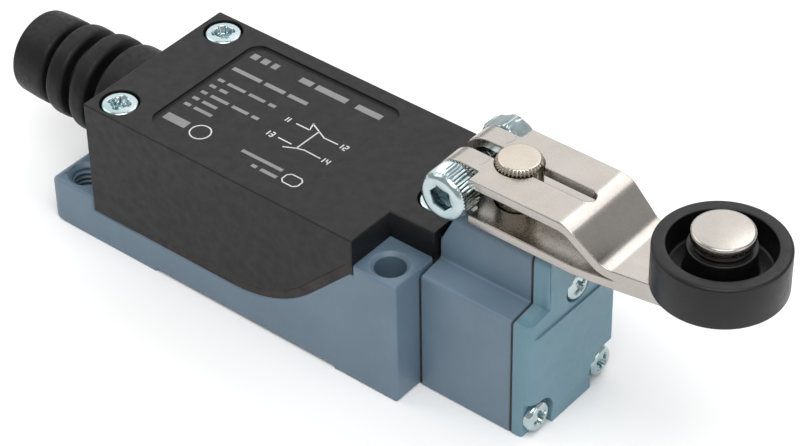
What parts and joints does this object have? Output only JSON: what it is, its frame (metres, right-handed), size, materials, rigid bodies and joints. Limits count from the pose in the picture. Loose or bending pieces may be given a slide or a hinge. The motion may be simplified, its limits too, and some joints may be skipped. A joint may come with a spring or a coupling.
{
  "type": "limit switch",
  "caption": "Compact limit switch with a screwed-down cover, cable boot and a clamped lever carrying a free-turning roller.",
  "frame": {"origin": "on the mounting face, mid-width, at the end plane of the base housing where the head block is joined on", "axes": "+X from the cable end towards the roller, along the body; +Z out of the mounting face towards the cover; +Y to the left seen from the cable end"},
  "size_m": [0.126, 0.028, 0.0408],
  "materials": {
    "base_paint": "satin",
    "end_paint": "satin",
    "cover_plastic": "matte",
    "gasket_rubber": "matte",
    "boot_rubber": "matte",
    "nickel_steel": "satin",
    "zinc_steel": "satin",
    "cam_steel": "satin",
    "spring_steel": "satin",
    "brass": "satin",
    "roller_plastic": "satin",
    "inner_plastic": "satin",
    "block_plastic": "matte",
    "carrier_plastic": "satin"
  },
  "bodies": {
    "housing": {"base_housing": "base_paint", "cover_gasket": "gasket_rubber", "cover": "cover_plastic", "cover_screws": "zinc_steel", "cable_boot": "boot_rubber", "earth_screw": "brass", "head_gasket": "gasket_rubber", "head_block": "base_paint", "head_screws": "zinc_steel", "end_gasket": "gasket_rubber", "end_plate": "end_paint", "end_plate_screws": "zinc_steel", "shaft_bush": "brass", "shaft_seal": "boot_rubber", "return_spring": "spring_steel", "plunger_seal": "boot_rubber", "block_base": "block_plastic", "block_cover": "inner_plastic", "block_screws": "zinc_steel", "carrier_spring": "spring_steel", "terminal_11": "brass", "terminal_12": "brass", "terminal_13": "brass", "terminal_14": "brass", "terminal_screws": "zinc_steel", "terminal_plates": "zinc_steel"},
    "lever": {"shaft": "nickel_steel", "thrust_washer": "zinc_steel", "cam": "cam_steel", "cam_pin": "cam_steel", "lever_arm": "nickel_steel", "clamp_screw": "zinc_steel", "clamp_nut": "zinc_steel", "roller_pin": "nickel_steel", "roller_washer": "zinc_steel"},
    "roller": {"roller": "roller_plastic"},
    "plunger": {"plunger": "inner_plastic"},
    "carrier": {"carrier": "carrier_plastic", "closed_bridge": "brass", "open_bridge": "brass", "closed_bridge_spring": "spring_steel", "open_bridge_spring": "spring_steel"},
    "piston": {"return_piston": "inner_plastic"}
  },
  "joints": [
    {"name": "lever_swing", "type": "hinge", "parent": "housing", "child": "lever", "pos_m": [0.0091, 0, 0], "axis": [0, 0, 1], "range_deg": [-70, 70], "stiffness_Nm_per_rad": 0.04},
    {"name": "roller_spin", "type": "hinge", "parent": "lever", "child": "roller", "pos_m": [0.0395, 0, 0.035], "axis": [0, 0, 1], "continuous": true},
    {"name": "plunger_slide", "type": "slide", "parent": "housing", "child": "plunger", "axis": [-1, 0, 0], "range_m": [0, 0.0012], "stiffness_N_per_m": 400, "springref_m": -0.0005},
    {"name": "carrier_slide", "type": "slide", "parent": "housing", "child": "carrier", "axis": [-1, 0, 0], "range_m": [0, 0.0012], "stiffness_N_per_m": 400, "springref_m": -0.0005, "deforming": ["carrier_spring"]},
    {"name": "piston_slide", "type": "slide", "parent": "housing", "child": "piston", "axis": [1, 0, 0], "range_m": [0, 0.0012], "stiffness_N_per_m": 800, "springref_m": -0.0005, "deforming": ["return_spring"]}
  ],
  "couplings": [
    {"joint": "carrier_slide", "follows": "plunger_slide", "ratio": 1},
    {"joint": "piston_slide", "follows": "plunger_slide", "ratio": 1}
  ]
}
